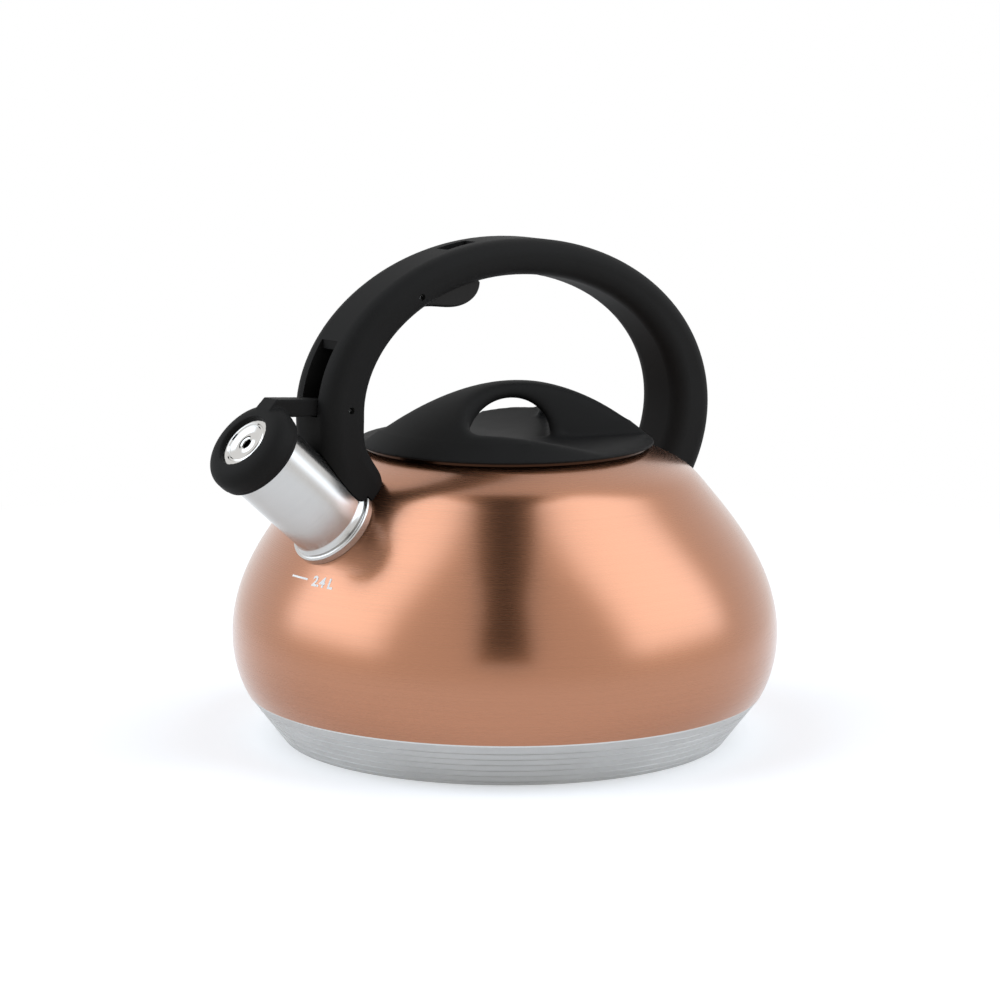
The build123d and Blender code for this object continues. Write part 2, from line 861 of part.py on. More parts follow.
with BuildPart() as lid_cover:
    with BuildSketch(Plane.XZ):
        with BuildLine():
            TangentArc((0, lid_top), (lid_radius, lid_edge_height), tangent=(1, 0))
            Polyline(
                (lid_radius, lid_edge_height),
                (lid_radius, lid_under),
                (0, lid_under),
                (0, lid_top),
            )
        make_face()
    revolve(axis=Axis.Z)
    add(scoops.part, mode=Mode.SUBTRACT)
    with BuildSketch(lid_plane.offset(cup_bottom + cup_wall)):
        with Locations(*boss_places):
            Circle(boss_radius)
            Circle(lid_screw_radius + screw_fit, mode=Mode.SUBTRACT)
    extrude(amount=cup_depth - cup_wall)
finish(lid_cover, "lid_cover")

# Lid cup, screwed up under the cover
with BuildPart() as lid_cup:
    with BuildSketch(lid_plane.offset(cup_bottom)):
        Circle(cup_radius)
    extrude(amount=cup_depth)
    with BuildSketch(lid_plane.offset(cup_bottom + cup_wall)):
        Circle(cup_radius - cup_wall)
    extrude(amount=cup_depth, mode=Mode.SUBTRACT)
    with BuildSketch(lid_plane.offset(cup_bottom)):
        with Locations(*boss_places):
            Circle(lid_screw_radius + screw_fit)
    extrude(amount=cup_wall, mode=Mode.SUBTRACT)
finish(lid_cup, "lid_cup")

with BuildPart() as lid_screws:
    with BuildSketch(lid_plane.offset(cup_bottom)):
        with Locations(*boss_places):
            Circle(lid_screw_head_radius)
    extrude(amount=-lid_screw_head_height)
    with BuildSketch(lid_plane.offset(cup_bottom)):
        with Locations(*boss_places):
            Circle(lid_screw_radius)
    extrude(amount=lid_screw_length)
finish(lid_screws, "lid_screws")

# Lid seal, round the cup
with BuildPart() as lid_seal:
    with BuildSketch(Plane.XY.offset(cup_bottom + lid_seal_rise)):
        Circle(neck_bore_radius - lid_seal_gap)
        Circle(cup_radius + sheet_gap, mode=Mode.SUBTRACT)
    extrude(amount=lid_seal_height)
finish(lid_seal, "lid_seal")
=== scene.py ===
"""Looks of the stovetop whistling kettle: finishes, printed fill mark, whistle face and studio.

Metres, in the part's own frame: origin under the middle of the base, +Z up, spout towards -X.
"""

import logging
import math
from dataclasses import dataclass, field
from enum import Enum
from typing import Any, Callable, ClassVar, Iterable, Mapping, Sequence, Union

import bmesh
import bpy
from mathutils import Matrix, Vector
from mathutils.bvhtree import BVHTree


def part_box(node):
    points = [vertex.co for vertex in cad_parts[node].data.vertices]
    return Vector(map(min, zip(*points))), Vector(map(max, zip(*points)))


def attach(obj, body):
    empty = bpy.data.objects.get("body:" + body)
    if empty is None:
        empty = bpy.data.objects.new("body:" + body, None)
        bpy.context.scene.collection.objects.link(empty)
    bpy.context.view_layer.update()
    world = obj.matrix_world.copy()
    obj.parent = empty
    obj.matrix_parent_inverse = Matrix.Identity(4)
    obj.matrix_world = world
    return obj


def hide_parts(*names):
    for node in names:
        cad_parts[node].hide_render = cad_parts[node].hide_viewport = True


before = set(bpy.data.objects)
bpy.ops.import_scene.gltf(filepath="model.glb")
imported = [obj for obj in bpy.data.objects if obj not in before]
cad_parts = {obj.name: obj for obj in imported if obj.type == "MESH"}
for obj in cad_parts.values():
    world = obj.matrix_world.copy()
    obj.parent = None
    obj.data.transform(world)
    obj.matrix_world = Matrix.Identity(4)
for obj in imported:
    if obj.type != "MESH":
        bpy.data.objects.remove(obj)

LOG = logging.getLogger("kettle")
MM = 0.001
UP = Vector((0.0, 0.0, 1.0))
SPOUT_RISE = math.radians(40.6)
SHARP_CORNER = math.radians(40.0)
SMOOTHING_STEP = 0.5

Colour = tuple[float, float, float]
Triple = tuple[float, float, float]
Span = tuple[float, float]
Operand = Union["Signal", float]


class Body(Enum):
    """Bodies that a piece can ride on."""

    KETTLE = "kettle"
    CAP = "cap"
    LID = "lid"


class Axis(Enum):
    """Ways the grain of a spun or brushed finish can run round."""

    UPRIGHT = (0.0, 0.0, 1.0)
    SPOUT = (-math.cos(SPOUT_RISE), 0.0, math.sin(SPOUT_RISE))


class Side(Enum):
    """Sides of the camera that a light can stand on."""

    LEFT = -1.0
    RIGHT = 1.0


class Signal:
    """A shader socket that takes part in Python arithmetic."""

    def __init__(self, graph: "Graph", socket: bpy.types.NodeSocket | None) -> None:
        """Keep the socket and the graph it belongs to."""
        self.graph = graph
        self.socket = socket

    def _math(self, operation: str, left: Operand, right: Operand) -> "Signal":
        """Add one Math node for two operands."""
        return self.graph.node("ShaderNodeMath", {"operation": operation}, {0: left, 1: right})

    def __add__(self, other: Operand) -> "Signal":
        """Sum of two values."""
        return self._math("ADD", self, other)

    def __radd__(self, other: Operand) -> "Signal":
        """Sum of a number and a value."""
        return self._math("ADD", other, self)

    def __sub__(self, other: Operand) -> "Signal":
        """Difference of two values."""
        return self._math("SUBTRACT", self, other)

    def __rsub__(self, other: Operand) -> "Signal":
        """Difference of a number and a value."""
        return self._math("SUBTRACT", other, self)

    def __mul__(self, other: Operand) -> "Signal":
        """Product of two values."""
        return self._math("MULTIPLY", self, other)

    def __rmul__(self, other: Operand) -> "Signal":
        """Product of a number and a value."""
        return self._math("MULTIPLY", other, self)

    def __truediv__(self, other: Operand) -> "Signal":
        """Quotient of two values."""
        return self._math("DIVIDE", self, other)

    def __rtruediv__(self, other: Operand) -> "Signal":
        """Quotient of a number and a value."""
        return self._math("DIVIDE", other, self)


class Graph:
    """The node tree of one material, of a lamp or of the world."""

    def __init__(self, tree: bpy.types.NodeTree) -> None:
        """Start from an empty tree."""
        self.tree = tree
        self.tree.nodes.clear()

    def node(
        self,
        kind: str,
        settings: Mapping[str, Any] | None = None,
        inputs: Mapping[int | str, Any] | None = None,
        output: int | str = 0,
    ) -> Signal:
        """Add a node of any type.

        Args:
            kind: Node type.
            settings: Properties of the node, set before the sockets.
            inputs: Values or signals for the node's sockets, by number or name.
            output: Socket that the signal stands for.

        Returns:
            The node's output.
        """
        made = self.tree.nodes.new(kind)
        for key, value in (settings or {}).items():
            setattr(made, key, value)
        for key, value in (inputs or {}).items():
            if isinstance(value, Signal):
                self.tree.links.new(value.socket, made.inputs[key])
            else:
                made.inputs[key].default_value = value
        return Signal(self, made.outputs[output] if made.outputs else None)

    def place(self) -> Signal:
        """Point of the surface in the piece's own coordinates, which are the part's."""
        return self.node("ShaderNodeTexCoord", output="Object")

    def parts(self, vector: Signal) -> tuple[Signal, Signal, Signal]:
        """Three parts of a vector."""
        split = self.node("ShaderNodeSeparateXYZ", inputs={0: vector})
        return tuple(Signal(self, socket) for socket in split.socket.node.outputs)

    def along(self, vector: Signal, axis: Triple) -> Signal:
        """Distance of a point along an axis through the origin."""
        factors = {0: vector, 1: axis}
        return self.node("ShaderNodeVectorMath", {"operation": "DOT_PRODUCT"}, factors, "Value")

    def stretched(self, vector: Signal, factors: Triple) -> Signal:
        """Vector multiplied part by part."""
        return self.node("ShaderNodeVectorMath", {"operation": "MULTIPLY"}, {0: vector, 1: factors})

    def scaled(self, vector: Signal, factor: Signal) -> Signal:
        """Colour or vector multiplied by one value."""
        return self.node("ShaderNodeVectorMath", {"operation": "SCALE"}, {0: vector, "Scale": factor})

    def noise(self, vector: Signal, scale: float, detail: float = 2.0, rough: float = 0.5) -> Signal:
        """Noise from 0 to 1 over a vector."""
        sockets = {"Vector": vector, "Scale": scale, "Detail": detail, "Roughness": rough}
        return self.node("ShaderNodeTexNoise", inputs=sockets)

    def limited(self, value: Signal, low: float, high: float) -> Signal:
        """Value brought from a range to 0 to 1, with the ends held."""
        return self.node("ShaderNodeMapRange", inputs={"Value": value, "From Min": low, "From Max": high})

    def eased(self, value: Signal, low: float, high: float) -> Signal:
        """Value brought from a range to 0 to 1, with soft ends."""
        limits = {"Value": value, "From Min": low, "From Max": high}
        return self.node("ShaderNodeMapRange", {"interpolation_type": "SMOOTHSTEP"}, limits)

    def layered(self, layers: Sequence[Signal], weights: Sequence[float], span: Span) -> Signal:
        """Lay several values over each other.

        Args:
            layers: Noises and other values.
            weights: Share of each of them.
            span: Range of their sum that is brought to 0 to 1.

        Returns:
            The sum, from 0 to 1.
        """
        first, *others = [layer * weight for layer, weight in zip(layers, weights)]
        return self.limited(sum(others, first), *span)

    def size(self, value: Signal) -> Signal:
        """Value without its sign."""
        return self.node("ShaderNodeMath", {"operation": "ABSOLUTE"}, {0: value})

    def mixed(self, share: Signal, first: Colour, second: Colour) -> Signal:
        """Mix of two colours."""
        colours = {0: share, 6: (*first, 1.0), 7: (*second, 1.0)}
        return self.node("ShaderNodeMix", {"data_type": "RGBA"}, colours, output=2)

    def bump(self, height: Signal, strength: float, distance: float) -> Signal:
        """Surface normal tilted by a height."""
        relief = {"Strength": strength, "Distance": distance, "Height": height}
        return self.node("ShaderNodeBump", inputs=relief, output="Normal")

    def principled(self, inputs: Mapping[str, Any]) -> None:
        """End the material in one principled shader."""
        shader = self.node("ShaderNodeBsdfPrincipled", inputs=inputs)
        self.node("ShaderNodeOutputMaterial", inputs={"Surface": shader})


@dataclass(frozen=True)
class Finish:
    """What all finishes share: a name, the record's slot, a colour and a gloss."""

    name: str
    slot: str
    colour: Colour
    roughness: float

    def material(self) -> bpy.types.Material:
        """Material of this finish, made once.

        Returns:
            The material, which all pieces of this finish share.
        """
        found = bpy.data.materials.get(self.name)
        if found is None:
            found = bpy.data.materials.new(self.name)
            found.use_nodes = True
            found.diffuse_color = (*self.colour, 1.0)
            self.shade(Graph(found.node_tree))
        return found

    def shade(self, graph: Graph) -> None:
        """Fill the material's node tree."""
        raise NotImplementedError

    def toned(self, share: Signal, tones: Span) -> Signal:
        """Colour that runs between a darker and a lighter tone of the finish's own."""
        dark, light = (tuple(min(1.0, part * tone) for part in self.colour) for tone in tones)
        return share.graph.mixed(share, dark, light)

    def dulled(self, share: Signal, swing: float) -> Signal:
        """Roughness that swings about the finish's own."""
        return share * swing + (self.roughness - swing / 2)


@dataclass(frozen=True)
class SatinCoat(Finish):
    """Satin metallic coat under clear lacquer, with fine brush lines that run round the vessel."""

    coat: float
    coat_roughness: float
    line_pitch: float
    line_depth: float
    grain_pull: float
    # The next three fields paint shade on the neck above its foot, where the lid's rim shades it.
    neck_foot: float
    neck_shade_level: float
    neck_shade_edge: float = 0.3 * MM
    lines_per_radian: float = 0.9
    line_rough: float = 0.6
    long_line_stretch: Triple = (0.6, 0.21, 1.0)
    drift_scale: float = 14.0
    weights: Triple = (0.5, 0.3, 0.2)
    span: Span = (0.25, 0.75)
    tones: Span = (0.95, 1.05)
    gloss_swing: float = -0.04
    shine_tint: Colour = (1.0, 0.97, 0.95)
    coat_index: float = 1.6
    grain_turn: float = 0.25
    relief: float = 0.1

    def shade(self, graph: Graph) -> None:
        """Brush lines in colour, gloss and relief, a slow drift of tone over them, and painted shade on the
        neck under the lid's rim.

        Args:
            graph: Node tree to fill.
        """
        place = graph.place()
        x, y, z = graph.parts(place)
        turn = graph.node("ShaderNodeMath", {"operation": "ARCTAN2"}, {0: y, 1: x})
        round_and_up = {0: turn * self.lines_per_radian, 1: z / self.line_pitch}
        ring = graph.node("ShaderNodeCombineXYZ", inputs=round_and_up)
        lines = graph.noise(ring, 1.0, rough=self.line_rough)
        long_lines = graph.noise(graph.stretched(ring, self.long_line_stretch), 1.0)
        drift = graph.noise(place, self.drift_scale)
        share = graph.layered([lines, long_lines, drift], self.weights, self.span)
        # Painted shade: above the neck's foot the colour is darkened and the lacquer dimmed, as in the
        # lid's shadow.
        neck = graph.limited(z, self.neck_foot - self.neck_shade_edge, self.neck_foot)
        tone = 1.0 - neck * (1.0 - self.neck_shade_level)
        graph.principled(
            {
                "Base Color": graph.scaled(self.toned(share, self.tones), tone),
                "Metallic": 1.0,
                "Roughness": self.dulled(share, self.gloss_swing),
                "Specular Tint": (*self.shine_tint, 1.0),
                "Coat Weight": tone * self.coat,
                "Coat Roughness": self.coat_roughness,
                "Coat IOR": self.coat_index,
                "Anisotropic": self.grain_pull,
                "Anisotropic Rotation": self.grain_turn,
                "Normal": graph.bump(lines, self.relief, self.line_depth),
            }
        )


@dataclass(frozen=True)
class SoftTouch(Finish):
    """Matt moulded plastic with a fine even grain."""

    grain: float
    depth: float
    shine: float
    cloud_scale: float = 45.0
    cloud_detail: float = 3.0
    weights: Span = (0.7, 0.3)
    span: Span = (0.3, 0.7)
    tones: Span = (0.85, 1.2)
    gloss_swing: float = 0.08
    shine_tint: Colour = (1.0, 0.92, 0.84)
    relief: float = 0.3

    def shade(self, graph: Graph) -> None:
        """Fine grain in relief and gloss, and a faint cloudiness in the tone.

        Args:
            graph: Node tree to fill.
        """
        place = graph.place()
        grain = graph.noise(place, 1.0 / self.grain)
        cloud = graph.noise(place, self.cloud_scale, self.cloud_detail)
        wear = graph.layered([cloud, grain], self.weights, self.span)
        graph.principled(
            {
                "Base Color": self.toned(wear, self.tones),
                "Roughness": self.dulled(wear, self.gloss_swing),
                "Specular IOR Level": self.shine,
                "Specular Tint": (*self.shine_tint, 1.0),
                "Normal": graph.bump(grain, self.relief, self.depth),
            }
        )


@dataclass(frozen=True)
class SpunMetal(Finish):
    """Bare metal with spinning or brushing lines round an axis."""

    axis: Axis
    line_pitch: float
    contrast: float
    depth: float
    swirl_stretch: Triple = (9.0, 9.0, 9.0)
    line_detail: float = 3.0
    line_rough: float = 0.6
    stain_scale: float = 60.0
    stain_detail: float = 3.0
    weights: Span = (0.75, 0.25)
    span: Span = (0.3, 0.7)
    gloss_share: float = -0.3
    relief: float = 0.2

    def shade(self, graph: Graph) -> None:
        """Lines that follow the axis in tone, gloss and relief.

        Args:
            graph: Node tree to fill.
        """
        place = graph.place()
        reach = graph.along(place, self.axis.value)
        spread = graph.node("ShaderNodeCombineXYZ", inputs={0: reach / self.line_pitch})
        swirl = {0: spread, 1: graph.stretched(place, self.swirl_stretch)}
        route = graph.node("ShaderNodeVectorMath", {"operation": "ADD"}, swirl)
        lines = graph.noise(route, 1.0, self.line_detail, self.line_rough)
        stain = graph.noise(place, self.stain_scale, self.stain_detail)
        share = graph.layered([lines, stain], self.weights, self.span)
        graph.principled(
            {
                "Base Color": self.toned(share, (1.0 - self.contrast, 1.0 + self.contrast)),
                "Metallic": 1.0,
                "Roughness": self.dulled(share, self.gloss_share * self.roughness),
                "Normal": graph.bump(lines, self.relief, self.depth),
            }
        )


@dataclass(frozen=True)
class SatinBase(Finish):
    """Dull silver coat of the ribbed base, a little darker low down where it meets the stove."""

    metallic: float
    speckle_scale: float = 2600.0
    stain_scale: float = 35.0
    stain_detail: float = 3.0
    stain_stretch: Triple = (1.0, 1.0, 3.0)
    darkened_height: float = 6.0 * MM
    weights: Triple = (0.3, 0.7, -0.12)
    span: Span = (0.25, 0.75)
    tones: Span = (0.9, 1.08)
    gloss_swing: float = -0.08
    relief: float = 0.15
    depth: float = 0.03 * MM

    def shade(self, graph: Graph) -> None:
        """Fine speckle and faint streaky stains, and a little darker over the bottom few millimetres.

        Args:
            graph: Node tree to fill.
        """
        place = graph.place()
        height = graph.parts(place)[2]
        speckle = graph.noise(place, self.speckle_scale)
        stretched = graph.stretched(place, self.stain_stretch)
        stain = graph.noise(stretched, self.stain_scale, self.stain_detail)
        # A little darker towards the bottom edge.
        low = 1.0 - graph.limited(height, 0.0, self.darkened_height)
        share = graph.layered([speckle, stain, low], self.weights, self.span)
        graph.principled(
            {
                "Base Color": self.toned(share, self.tones),
                "Metallic": self.metallic,
                "Roughness": self.dulled(share, self.gloss_swing),
                "Normal": graph.bump(speckle, self.relief, self.depth),
            }
        )


@dataclass(frozen=True)
class Rubber(Finish):
    """Soft seal rubber with a dusty bloom."""

    bloom: Colour
    bloom_scale: float = 120.0
    bloom_detail: float = 4.0
    bloom_span: Span = (0.4, 0.75)
    bloom_share: float = 0.5
    bloom_roughness: float = 0.1
    grain_scale: float = 3200.0
    shine: float = 0.35
    relief: float = 0.2
    depth: float = 0.03 * MM

    def shade(self, graph: Graph) -> None:
        """Bloom in patches over an even ground.

        Args:
            graph: Node tree to fill.
        """
        place = graph.place()
        patches = graph.limited(graph.noise(place, self.bloom_scale, self.bloom_detail), *self.bloom_span)
        grain = graph.noise(place, self.grain_scale)
        graph.principled(
            {
                "Base Color": graph.mixed(patches * self.bloom_share, self.colour, self.bloom),
                "Roughness": patches * self.bloom_roughness + self.roughness,
                "Specular IOR Level": self.shine,
                "Normal": graph.bump(grain, self.relief, self.depth),
            }
        )


@dataclass(frozen=True)
class PrintInk(Finish):
    """Screen-printed ink, slightly uneven in cover."""

    mottle_scale: float = 1800.0
    mottle_roughness: float = 0.1
    tones: Span = (0.93, 1.0)

    def shade(self, graph: Graph) -> None:
        """Ink with a faint mottle.

        Args:
            graph: Node tree to fill.
        """
        mottle = graph.noise(graph.place(), self.mottle_scale)
        graph.principled(
            {
                "Base Color": self.toned(mottle, self.tones),
                "Roughness": mottle * self.mottle_roughness + self.roughness,
            }
        )


COPPER = SatinCoat(
    name="satin_copper",
    slot="copper_coat",
    colour=(0.41, 0.176, 0.092),
    roughness=0.27,
    coat=0.6,
    coat_roughness=0.16,
    line_pitch=0.22 * MM,
    line_depth=0.012 * MM,
    grain_pull=0.4,
    # Painted shade on the neck under the lid's rim, darkened to a tenth.
    neck_foot=117.3 * MM,
    neck_shade_level=0.1,
)
BASE_SILVER = SatinBase(
    name="dull_silver",
    slot="base_silver",
    colour=(0.56, 0.553, 0.541),
    roughness=0.45,
    metallic=0.5,
)
SPREADER = SpunMetal(
    name="spun_aluminium",
    slot="spreader_aluminium",
    colour=(0.55, 0.56, 0.57),
    roughness=0.4,
    axis=Axis.UPRIGHT,
    line_pitch=0.6 * MM,
    contrast=0.08,
    depth=0.02 * MM,
)
STEEL = SpunMetal(
    name="brushed_steel",
    slot="steel",
    colour=(0.53, 0.52, 0.505),
    roughness=0.22,
    axis=Axis.SPOUT,
    line_pitch=0.35 * MM,
    contrast=0.06,
    depth=0.01 * MM,
)
PAN_STEEL = SpunMetal(
    name="drawn_steel",
    slot="steel",
    colour=(0.58, 0.58, 0.57),
    roughness=0.26,
    axis=Axis.UPRIGHT,
    line_pitch=0.4 * MM,
    contrast=0.07,
    depth=0.01 * MM,
)
CHROME = SpunMetal(
    name="polished_chrome",
    slot="whistle_chrome",
    colour=(0.62, 0.61, 0.59),
    roughness=0.1,
    axis=Axis.SPOUT,
    line_pitch=0.9 * MM,
    contrast=0.03,
    depth=0.004 * MM,
)
BLACK = SoftTouch(
    name="soft_black_plastic",
    slot="black_plastic",
    colour=(0.0105, 0.0103, 0.0101),
    roughness=0.6,
    grain=0.5 * MM,
    depth=0.04 * MM,
    shine=0.075,
)
TRIGGER_BLACK = SoftTouch(
    name="trigger_black_plastic",
    slot="trigger_plastic",
    colour=(0.007, 0.007, 0.0072),
    roughness=0.42,
    grain=0.5 * MM,
    depth=0.03 * MM,
    shine=0.16,
)
SEAL = Rubber(
    name="black_rubber",
    slot="seal_rubber",
    colour=(0.03, 0.03, 0.031),
    roughness=0.6,
    bloom=(0.07, 0.07, 0.068),
)
INK = PrintInk(name="white_print", slot="copper_coat", colour=(0.93, 0.92, 0.9), roughness=0.4)


class SubAssembly:
    """A group of pieces that are built and dressed together."""

    nodes: ClassVar[Mapping[str, Finish]] = {}

    def build(self) -> None:
        """Dress the group's own solids and add what they lack."""
        for name, finish in self.nodes.items():
            self.dress(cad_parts[name], finish)
            LOG.info("dressed %s in %s", name, finish.name)

    @staticmethod
    def dress(piece: bpy.types.Object, finish: Finish) -> None:
        """Give a piece one finish over all of its surface."""
        piece.data.materials.clear()
        piece.data.materials.append(finish.material())

    def piece(
        self, name: str, mesh: bpy.types.Mesh, body: Body, finish: Finish, stands_for: Sequence[str] = ()
    ) -> None:
        """Turn a mesh into a piece of the part.

        Args:
            name: Name of the piece.
            mesh: Its mesh, in the part's frame.
            body: Body that it moves with.
            finish: Its finish.
            stands_for: Solids that it takes the place of.
        """
        made = bpy.data.objects.new(name, mesh)
        bpy.context.scene.collection.objects.link(made)
        self.dress(made, finish)
        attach(made, body.value)
        if stands_for:
            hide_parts(*stands_for)
        LOG.info("built %s in %s", name, finish.name)


def settled_mesh(shape: bmesh.types.BMesh, mesh: bpy.types.Mesh) -> bpy.types.Mesh:
    """Write a shape into a mesh.

    Args:
        shape: The shape, which is used up.
        mesh: Mesh that takes it.

    Returns:
        The same mesh.
    """
    shape.to_mesh(mesh)
    shape.free()
    return mesh


def finished_mesh(holder: bpy.types.Object) -> bpy.types.Mesh:
    """Mesh that a passing object comes to, in the part's frame.

    Args:
        holder: Text or modified mesh, which is removed afterwards.

    Returns:
        The new mesh.
    """
    bpy.context.scene.collection.objects.link(holder)
    bpy.context.view_layer.update()
    mesh = bpy.data.meshes.new_from_object(holder.evaluated_get(bpy.context.evaluated_depsgraph_get()))
    mesh.transform(holder.matrix_world)
    bpy.data.objects.remove(holder)
    return mesh


def revolved_mesh(name: str, profile: Sequence[Span], place: Matrix, segments: int = 128) -> bpy.types.Mesh:
    """Mesh of a profile turned round an axis.

    Args:
        name: Name of the mesh.
        profile: Closed loop of radius and height, in metres.
        place: Frame whose Z is the axis.
        segments: Steps round the axis.

    Returns:
        A closed ring, smooth but for its sharp corners.
    """
    shape = bmesh.new()
    rings = []
    for step in range(segments):
        angle = 2 * math.pi * step / segments
        across, ahead = math.cos(angle), math.sin(angle)
        points = [Vector((radius * across, radius * ahead, height)) for radius, height in profile]
        rings.append([shape.verts.new(place @ point) for point in points])
    for step in range(segments):
        near, far = rings[step], rings[(step + 1) % segments]
        for corner in range(len(profile)):
            after = (corner + 1) % len(profile)
            shape.faces.new((near[corner], far[corner], far[after], near[after]))
    bmesh.ops.recalc_face_normals(shape, faces=shape.faces)
    mesh = settled_mesh(shape, bpy.data.meshes.new(name))
    mesh.shade_smooth()
    mesh.set_sharp_from_angle(angle=SHARP_CORNER)
    return mesh


def everywhere(point: Vector) -> bool:
    """Whether a point of a moulding is smoothed, where all of them are."""
    return True


def softened_mesh(
    node: str, cell: float, passes: Iterable[tuple[int, Callable[[Vector], bool]]]
) -> bpy.types.Mesh:
    """Copy of a solid with its edges melted into each other, as a moulding has them.

    Args:
        node: Solid to copy.
        cell: Size of the copy's faces.
        passes: Rounds of smoothing, each number with a test for the points it moves.

    Returns:
        The new mesh.
    """
    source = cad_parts[node]
    holder = bpy.data.objects.new(node + "_copy", source.data.copy())
    holder.matrix_world = source.matrix_world
    remesh = holder.modifiers.new("cells", "REMESH")
    remesh.mode = "VOXEL"
    remesh.voxel_size = cell
    mesh = finished_mesh(holder)
    shape = bmesh.new()
    shape.from_mesh(mesh)
    all_ways = {"use_axis_x": True, "use_axis_y": True, "use_axis_z": True}
    for rounds, moves in passes:
        moving = [vertex for vertex in shape.verts if moves(vertex.co)]
        for _ in range(rounds):
            bmesh.ops.smooth_vert(shape, verts=moving, factor=SMOOTHING_STEP, **all_ways)
    settled_mesh(shape, mesh)
    mesh.shade_smooth()
    return mesh


@dataclass
class Vessel(SubAssembly):
    """Coated vessel with its printed fill mark."""

    mark_height: float = 74.9 * MM
    mark_start: float = 175.4
    mark_end: float = 181.2
    line_width: float = 0.75 * MM
    line_faces: int = 24
    numerals_start: float = 183.0
    numerals: str = "2.4 L"
    numeral_height: float = 4.0 * MM
    numeral_height_in_type: float = 0.7
    stroke_swell: float = 0.05
    longest_edge: float = 0.25
    edge_cuts: int = 2
    ink_thickness: float = 0.05 * MM
    surface: BVHTree = field(init=False)
    reach: float = field(init=False)
    nodes = {"body_shell": COPPER}

    def build(self) -> None:
        """Dress the shell and print the fill mark on it."""
        super().build()
        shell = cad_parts["body_shell"]
        self.surface = BVHTree.FromObject(shell, bpy.context.evaluated_depsgraph_get())
        self.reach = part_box("body_shell")[1].x * 2
        line = self.wrapped(self.flat_line(), self.mark_start, -self.line_width / 2)
        self.piece("fill_line", line, Body.KETTLE, INK)
        numerals = self.wrapped(self.flat_numerals(), self.numerals_start, -self.numeral_height / 2)
        self.piece("fill_numerals", numerals, Body.KETTLE, INK)

    def flat_line(self) -> bpy.types.Mesh:
        """Fill line lying flat from the origin along X, in small faces so that it can be wrapped.

        Returns:
            The line's mesh.
        """
        radius = self.skin(math.radians(self.mark_start), self.mark_height)[0].xy.length
        sweep = math.radians(self.mark_end - self.mark_start) * radius
        shape = bmesh.new()
        bmesh.ops.create_grid(shape, x_segments=self.line_faces, y_segments=1, size=0.5)
        bmesh.ops.translate(shape, verts=shape.verts, vec=(0.5, 0.5, 0.0))
        bmesh.ops.scale(shape, verts=shape.verts, vec=(sweep, self.line_width, 1.0))
        return settled_mesh(shape, bpy.data.meshes.new("strip"))

    def flat_numerals(self) -> bpy.types.Mesh:
        """Plain numerals lying flat from the origin along X, in small faces so that they can be wrapped.

        Returns:
            The numerals' mesh.
        """
        curve = bpy.data.curves.new("numerals", "FONT")
        curve.body = self.numerals
        curve.size = self.numeral_height / self.numeral_height_in_type
        curve.offset = self.numeral_height * self.stroke_swell
        mesh = finished_mesh(bpy.data.objects.new("numerals", curve))
        bpy.data.curves.remove(curve)
        shape = bmesh.new()
        shape.from_mesh(mesh)
        bmesh.ops.triangulate(shape, faces=shape.faces)
        longest = self.numeral_height * self.longest_edge
        long_edges = [edge for edge in shape.edges if edge.calc_length() > longest]
        bmesh.ops.subdivide_edges(shape, edges=long_edges, cuts=self.edge_cuts)
        bmesh.ops.triangulate(shape, faces=shape.faces)
        return settled_mesh(shape, mesh)

    def skin(self, angle: float, height: float) -> tuple[Vector, Vector]:
        """Find a point of the vessel's skin.

        Args:
            angle: Angle round the axis, in radians.
            height: Height above the stove.

        Returns:
            The point of the skin and its normal.
        """
        outward = Vector((math.cos(angle), math.sin(angle), 0.0))
        start = outward * self.reach + UP * height
        point, normal, _, _ = self.surface.ray_cast(start, -outward)
        return point, normal

    def wrapped(self, mesh: bpy.types.Mesh, start: float, shift: float) -> bpy.types.Mesh:
        """Lay a flat mesh on the vessel's skin.

        Args:
            mesh: Flat mesh, X round the vessel and Y up its side.
            start: Angle round the axis of the mesh's origin, in degrees.
            shift: Distance that the mesh is moved up the side.

        Returns:
            The same mesh, on the skin.
        """
        middle, normal = self.skin(math.radians(start), self.mark_height)
        radius = middle.xy.length
        steepness = normal.xy.length
        for vertex in mesh.vertices:
            angle = math.radians(start) + vertex.co.x / radius
            point, outward = self.skin(angle, self.mark_height + (vertex.co.y + shift) * steepness)
            vertex.co = point + outward * self.ink_thickness
        return mesh


@dataclass
class Base(SubAssembly):
    """Ribbed base with the pan and heat spreader inside it."""

    nodes = {"base_cladding": BASE_SILVER, "heat_spreader": SPREADER, "base_pan": PAN_STEEL}


@dataclass
class Spout(SubAssembly):
    """Steel spout tube on its collar."""

    nodes = {"spout_tube": STEEL, "spout_collar": STEEL}


